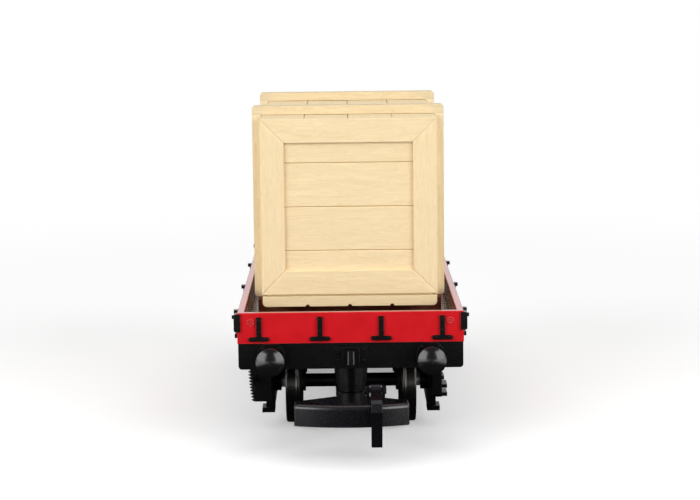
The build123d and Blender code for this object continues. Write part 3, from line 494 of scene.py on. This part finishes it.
# The material of each slot, as its name and what builds it
FINISHES = {
    "body_red": ("red_moulding", red_paint),
    "deck_brown": ("brown_deck", deck_brown),
    "chassis_black": ("satin_black", black_moulding(CHASSIS_BLACK, (0.26, 0.34), 0.25, specular=0.3)),
    "gloss_black": ("gloss_black", polished_black),
    "coupling_black": (
        "coupling_black",
        black_moulding(COUPLING_BLACK, (0.25, 0.28), 0.3, specular=0.7, skin_depth=0.0003),
    ),
    "wheel_black": (
        "blackened_metal",
        turned_metal(WHEEL_METAL, 0.32, ring_mm=0.12, dull=0.6, polished_radius=POLISHED_RADIUS),
    ),
    "bright_steel": (
        "bright_steel",
        turned_metal(AXLE_STEEL, 0.28, ring_mm=0.1, dull=0.8, dark_middle=SHADED_HALF_LENGTH),
    ),
    "ballast_steel": ("rolled_steel", rolled_steel),
    "cup_brass": ("turned_brass", turned_metal(BRASS, 0.22, ring_mm=0.1, dull=0.75)),
    "bush_plastic": ("bush_plastic", black_moulding(BUSH_BLACK, (0.5, 0.6), 0.1)),
    "case_cream": ("cream_band", band_plastic(BAND_LIGHT, BAND_DARK)),
    "case_tan": ("tan_base", band_plastic(TAN_LIGHT, TAN_DARK, all_level=True)),
    "bearer_brown": ("bearer_wood", bearer_wood),
}
MATERIALS = {slot: finish_material(name, build) for slot, (name, build) in FINISHES.items()}
BOARD_MATERIAL = finish_material("cream_boards", board_plastic)

for part in frame["record"]["subparts"]:
    node_object = NODES[part["node"]]
    node_object.data.materials.clear()
    node_object.data.materials.append(MATERIALS[part["material_slot"]])


# ---------------------------------------------------------------- boards with real grain

# Sizes in mm
Y_AXIS, Z_AXIS = (0, 1, 0), (0, 0, 1)
shell_low, shell_high = (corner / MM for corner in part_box("case_shell"))
CASE_X = shell_high.x
CASE_Y = shell_high.y
CASE_LOW = shell_low.z
CASE_TOP = shell_high.z
PLANK_COUNT = 4                 # on each end and side, and on top
BOARD_THICKNESS = 1.2
JOINT = 0.05                    # gap between the boards of an end or a side
TOP_JOINT = 1.6 * JOINT
BOARD_EDGE = 0.11               # radius of a board's rounded edges
FRAME_EDGE = 0.06
FRAME_BORDER = 3.5              # width of the boards of an end frame
FRAME_GAP = 0.02

# Grain in relief
ROW_SPACING = 0.13              # between the mesh's lines across a board, and along it
COLUMN_SPACING = 0.55
GRAIN_DEPTH = 0.03
GRAIN_FADE = 0.3                # the grain dies away this near to an edge
WANDERS = ((31.0, 0.8), (11.0, 0.28), (4.6, 0.08))      # wavelength along the board, and reach
STREAKS = ((0.9, 0.5), (0.42, 0.35), (0.26, 0.15))      # width, and share of the depth
WANDER_TILT = (0.05, 0.2)
FULL_TURN = 6.28
STREAK_COUNT = 400
MIDDLE_STREAK = 100             # a board's middle line falls on this streak
PATTERN_SHIFT = np.array((7.3, 3.1, 0.0))               # between the shader grain of two boards

# Each board has its own seed
END_SEED = 11
SIDE_SEED = 31
TOP_SEED = 51
FRAME_SEED = 71
FAR_SEED_STEP = 5


def relief(u, v, seed):
    """Height of the grain at board coordinates: wavy streaks that run along the board."""
    rng = np.random.RandomState(seed)
    wander = np.zeros_like(u)
    for wavelength, reach in WANDERS:
        phase = rng.uniform(0, FULL_TURN)
        tilt = rng.uniform(*WANDER_TILT)
        wander += reach * np.sin(2 * np.pi * u / wavelength + phase + v * tilt)
    height = np.zeros_like(u)
    for width, share in STREAKS:
        samples = rng.uniform(-1, 1, STREAK_COUNT)
        height += share * np.interp((v + wander) / width + MIDDLE_STREAK, np.arange(STREAK_COUNT), samples)
    return GRAIN_DEPTH * height


def with_edge_lines(even, edge):
    """Evenly spaced mesh lines with more of them in the rounded edge at either end."""
    low, high = even[0], even[-1]
    in_edges = [low + edge, low + edge / 2, high - edge, high - edge / 2]
    return np.unique(np.concatenate([even, in_edges]))


def add_board(store, place, size, seed, tone, mitred=False, edge=BOARD_EDGE):
    """Adds one closed board to a store of vertices and faces.

    place is the middle of the outer face and the unit axes along, across and out; size is length, width and
    thickness. A mitre cuts both ends at 45 degrees, with the longer edge at +across.
    """
    origin, *axes = place
    length, width, thickness = size
    rows = max(6, int(round(width / ROW_SPACING)))
    columns = max(8, int(round(length / COLUMN_SPACING)))
    v_line = with_edge_lines(width * (np.linspace(0, 1, rows) - 0.5), edge)
    s_line = with_edge_lines(np.linspace(0, 1, columns), edge / length)
    s, v = np.meshgrid(s_line, v_line)
    shortened = width / 2 - v if mitred else np.zeros_like(v)
    half = length / 2 - shortened
    u = (2 * s - 1) * half
    from_edge = np.minimum(width / 2 - np.abs(v), half - np.abs(u))
    shortfall = np.clip(edge - from_edge, 0, edge)
    drop = edge - np.sqrt(np.clip(edge**2 - shortfall**2, 0, None))
    w = relief(u, v, seed) * np.clip(from_edge / GRAIN_FADE, 0, 1) - drop - GRAIN_DEPTH
    base = len(store["points"])
    front = np.stack([u.ravel(), v.ravel(), w.ravel()], 1)
    count_v, count_s = u.shape
    ring = (
        [column for column in range(count_s)]
        + [row * count_s + count_s - 1 for row in range(1, count_v)]
        + [(count_v - 1) * count_s + column for column in range(count_s - 2, -1, -1)]
        + [row * count_s for row in range(count_v - 2, 0, -1)]
    )
    back = front[ring].copy()
    back[:, 2] = -thickness
    local = np.concatenate([front, back])
    store["points"].extend((np.array(origin) + local @ np.array(axes, float)).tolist())
    store["board"].extend((local + seed * PATTERN_SHIFT).tolist())
    store["tone"].extend([tone] * len(local))
    for row in range(count_v - 1):
        for column in range(count_s - 1):
            corner = base + row * count_s + column
            store["faces"].append((corner, corner + 1, corner + count_s + 1, corner + count_s))
    skirt = base + len(front)
    total = len(ring)
    for index in range(total):
        following = (index + 1) % total
        store["faces"].append((base + ring[following], base + ring[index], skirt + index, skirt + following))
    store["faces"].append(tuple(skirt + index for index in reversed(range(total))))


def new_store():
    """Empty lists for the points, faces, board coordinates and tones of a set of boards."""
    return {"points": [], "faces": [], "board": [], "tone": []}


def piece_from(store, name, node):
    """Turns a store into a piece that rides with the case and stands for one CAD node."""
    mesh = bpy.data.meshes.new(name)
    mesh.from_pydata([tuple(c * MM for c in point) for point in store["points"]], [], store["faces"])
    coordinates = mesh.attributes.new("board_mm", "FLOAT_VECTOR", "POINT")
    coordinates.data.foreach_set("vector", np.array(store["board"], np.float32).ravel())
    tones = mesh.attributes.new("board_tone", "FLOAT", "POINT")
    tones.data.foreach_set("value", np.array(store["tone"], np.float32))
    mesh.update()
    mesh.shade_smooth()
    mesh.set_sharp_from_angle(angle=math.radians(50))
    mesh.materials.append(BOARD_MATERIAL)
    piece = bpy.data.objects.new(name, mesh)
    bpy.context.scene.collection.objects.link(piece)
    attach(piece, "load")
    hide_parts(node)


def build_case_boards():
    """Level boards on ends and sides, and lengthwise boards on top, as one closed set."""
    store = new_store()
    plank_height = (CASE_TOP - CASE_LOW) / PLANK_COUNT
    plank_width = 2 * CASE_X / PLANK_COUNT
    for row in range(PLANK_COUNT):
        # The highest boards stop under the boards on top
        row_limit = CASE_TOP if row < PLANK_COUNT - 1 else CASE_TOP - BOARD_THICKNESS - JOINT
        low = CASE_LOW + row * plank_height
        high = min(low + plank_height, row_limit)
        middle = (low + high) / 2
        height = high - low - JOINT
        for way in (-1, 1):
            far_step = FAR_SEED_STEP * (way > 0)
            end_place = ((0, way * CASE_Y, middle), (-way, 0, 0), Z_AXIS, (0, way, 0))
            end_size = (2 * (CASE_X - BOARD_THICKNESS - JOINT), height, BOARD_THICKNESS)
            add_board(store, end_place, end_size, END_SEED + row + far_step, tone=row % 2)
        for way in (-1, 1):
            far_step = FAR_SEED_STEP * (way > 0)
            side_place = ((way * CASE_X, 0, middle), (0, way, 0), Z_AXIS, (way, 0, 0))
            side_size = (2 * CASE_Y, height, BOARD_THICKNESS)
            add_board(store, side_place, side_size, SIDE_SEED + row + far_step, tone=(row + 1) % 2)
    for column in range(PLANK_COUNT):
        x = (column - (PLANK_COUNT - 1) / 2) * plank_width
        top_place = ((x, 0, CASE_TOP), Y_AXIS, (-1, 0, 0), Z_AXIS)
        top_size = (2 * CASE_Y, plank_width - TOP_JOINT, BOARD_THICKNESS)
        add_board(store, top_place, top_size, TOP_SEED + column, tone=column % 2)
    piece_from(store, "case_boards", "case_shell")


def build_end_frame(end, name, node):
    """Four mitred boards round one end of the case."""
    store = new_store()
    low, high = (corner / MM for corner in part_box(node))
    face_y = low.y if end < 0 else high.y
    thickness = high.y - low.y - FRAME_GAP
    width = high.x - low.x
    height = high.z - low.z
    middle = (high.z + low.z) / 2
    for turn, (right, up) in enumerate(((0, 1), (0, -1), (1, 0), (-1, 0))):
        across = (-end * right, 0, up)
        along = tuple(np.cross(across, (0, end, 0)))
        reach = (height if up else width) / 2 - FRAME_BORDER / 2
        origin = (-end * right * reach, face_y, middle + up * reach)
        size = ((width if up else height) - FRAME_GAP, FRAME_BORDER - FRAME_GAP, thickness)
        place = (origin, along, across, (0, end, 0))
        add_board(store, place, size, FRAME_SEED + turn, tone=turn % 2, mitred=True, edge=FRAME_EDGE)
    piece_from(store, name, node)


build_case_boards()
build_end_frame(-1, "end_frame_boards_front", "case_end_frame_front")
build_end_frame(1, "end_frame_boards_rear", "case_end_frame_rear")


# ---------------------------------------------------------------- stage, light and camera

# The floor, in mm from the middle of the wagon
FADE_START, FADE_END = 60.0, 260.0          # the floor turns from grey board to the white of the backdrop
LANE_EDGE, LANE_SIDE_START = 40.0, 60.0     # half widths of the dark lane and of where bright ground starts
GLOW_START, GLOW_END = -45.0, -20.0         # the ground beside the lane glows in front of the wagon
GLOW_STRENGTH = 2.0
FLOOR_HALF_SIZE = 14.0                      # m

# Lights, in m and W
SOFTBOX_X, SOFTBOX_Y, SOFTBOX_Z = 0.46, -0.45, 0.25
SIDE_POWER = 3.3
TOP_PLACE = (0, -0.2, 0.66)
TOP_POWER = 1.1
AIM_Y = -0.03

# Camera: millimetres and degrees
CAMERA_PLACE = (-0.94, -319.25, 68.86)
CAMERA_PITCH = 8.03
CAMERA_YAW = 0.2
CAMERA_ROLL = 0.65
CAMERA_LENS = 104.35
SENSOR_WIDTH = 36.0


def pale_floor(tree):
    """Pale board that melts into the white backdrop.

    Reflections and bounce light see a painted dark lane under the wagon with bright ground beside it, which
    glows in reflections in front of the wagon as a painted light.
    """
    x, y = split(tree, object_mm(tree))[:2]
    fade = remap(tree, distance(tree, x, y), FADE_START, FADE_END, 0.0, 1.0, smooth=True)
    seen = is_ray(tree, "Camera")
    cloud = noise(tree, object_mm(tree), scale=0.02, detail=3.0)
    board = mixed(tree, cloud, BOARD_DARK, BOARD_LIGHT)
    beside = remap(tree, maths(tree, "ABSOLUTE", x), LANE_EDGE, LANE_SIDE_START, 0.0, 1.0, smooth=True)
    hidden = mixed(tree, beside, LANE_DARK, LANE_SIDE)
    in_front = remap(tree, y, GLOW_START, GLOW_END, 1.0, 0.0, smooth=True)
    glow = product(tree, is_ray(tree, "Glossy"), beside, in_front, GLOW_STRENGTH)
    shown = product(tree, blended(tree, fade, 0.3, 1.0), seen)
    return {
        "Base Color": mixed(tree, seen, hidden, mixed(tree, fade, board, BLACK)),
        "Roughness": 0.8,
        "Specular IOR Level": 0.0,
        "Emission Color": WHITE,
        "Emission Strength": maths(tree, "ADD", shown, glow),
    }


def build_floor():
    """One large square at the height of the wheels' lowest points."""
    half = FLOOR_HALF_SIZE
    mesh = bpy.data.meshes.new("floor")
    corners = [(-half, -half, 0), (half, -half, 0), (half, half, 0), (-half, half, 0)]
    mesh.from_pydata(corners, [], [(0, 1, 2, 3)])
    mesh.materials.append(finish_material("pale_floor", pale_floor))
    floor = bpy.data.objects.new("floor", mesh)
    bpy.context.scene.collection.objects.link(floor)


def add_softbox(name, place, target, width, height, power, seen_in_gloss=True):
    """A rectangular soft light that faces the target."""
    light = bpy.data.lights.new(name, "AREA")
    light.shape = "RECTANGLE"
    light.size = width
    light.size_y = height
    light.energy = power
    lamp = bpy.data.objects.new(name, light)
    bpy.context.scene.collection.objects.link(lamp)
    lamp.location = place
    lamp.rotation_euler = (Vector(target) - Vector(place)).to_track_quat("-Z", "Y").to_euler()
    lamp.visible_glossy = seen_in_gloss


def build_lights():
    """Two softboxes in front of the wagon with a dark gap between them, and a weaker one above."""
    aim = (0, AIM_Y, (cad_low[2] + cad_high[2]) / 2)
    for name, x in (("softbox_left", -SOFTBOX_X), ("softbox_right", SOFTBOX_X)):
        add_softbox(name, (x, SOFTBOX_Y, SOFTBOX_Z), aim, 0.5, 0.5, SIDE_POWER)
    add_softbox("softbox_top", TOP_PLACE, aim, 0.6, 0.5, TOP_POWER, seen_in_gloss=False)


def build_world():
    """White backdrop for the camera; otherwise bright behind and dim in front, more so in reflections."""
    world = bpy.data.worlds.new("studio")
    bpy.context.scene.world = world
    world.use_nodes = True
    tree = world.node_tree
    background = tree.nodes["Background"]
    direction = add_node(tree, "ShaderNodeTexCoord").outputs["Generated"]
    y = split(tree, direction)[1]
    reflected = remap(tree, y, -0.6, 0.5, 0.1, 1.1, smooth=True)
    room = blended(tree, is_ray(tree, "Glossy"), product(tree, reflected, 0.45), reflected)
    feed(tree, background.inputs["Color"], WHITE)
    feed(tree, background.inputs["Strength"], blended(tree, is_ray(tree, "Camera"), room, 1.0))


def build_camera():
    """Long-lens view of the front end, level with the top of the case, a little down and rolled."""
    camera_data = bpy.data.cameras.new("camera")
    camera_data.sensor_width = SENSOR_WIDTH
    camera_data.lens = CAMERA_LENS
    camera_data.clip_start = 0.01
    camera_data.clip_end = 50.0
    camera = bpy.data.objects.new("camera", camera_data)
    bpy.context.scene.collection.objects.link(camera)
    yaw = Matrix.Rotation(math.radians(-CAMERA_YAW), 4, "Z")
    pitch = Matrix.Rotation(math.radians(90 - CAMERA_PITCH), 4, "X")
    roll = Matrix.Rotation(math.radians(-CAMERA_ROLL), 4, "Z")
    camera.matrix_world = Matrix.Translation(Vector(CAMERA_PLACE) * MM) @ yaw @ pitch @ roll
    bpy.context.scene.camera = camera


build_floor()
build_world()
build_lights()
build_camera()
bpy.context.scene.view_settings.view_transform = "Standard"
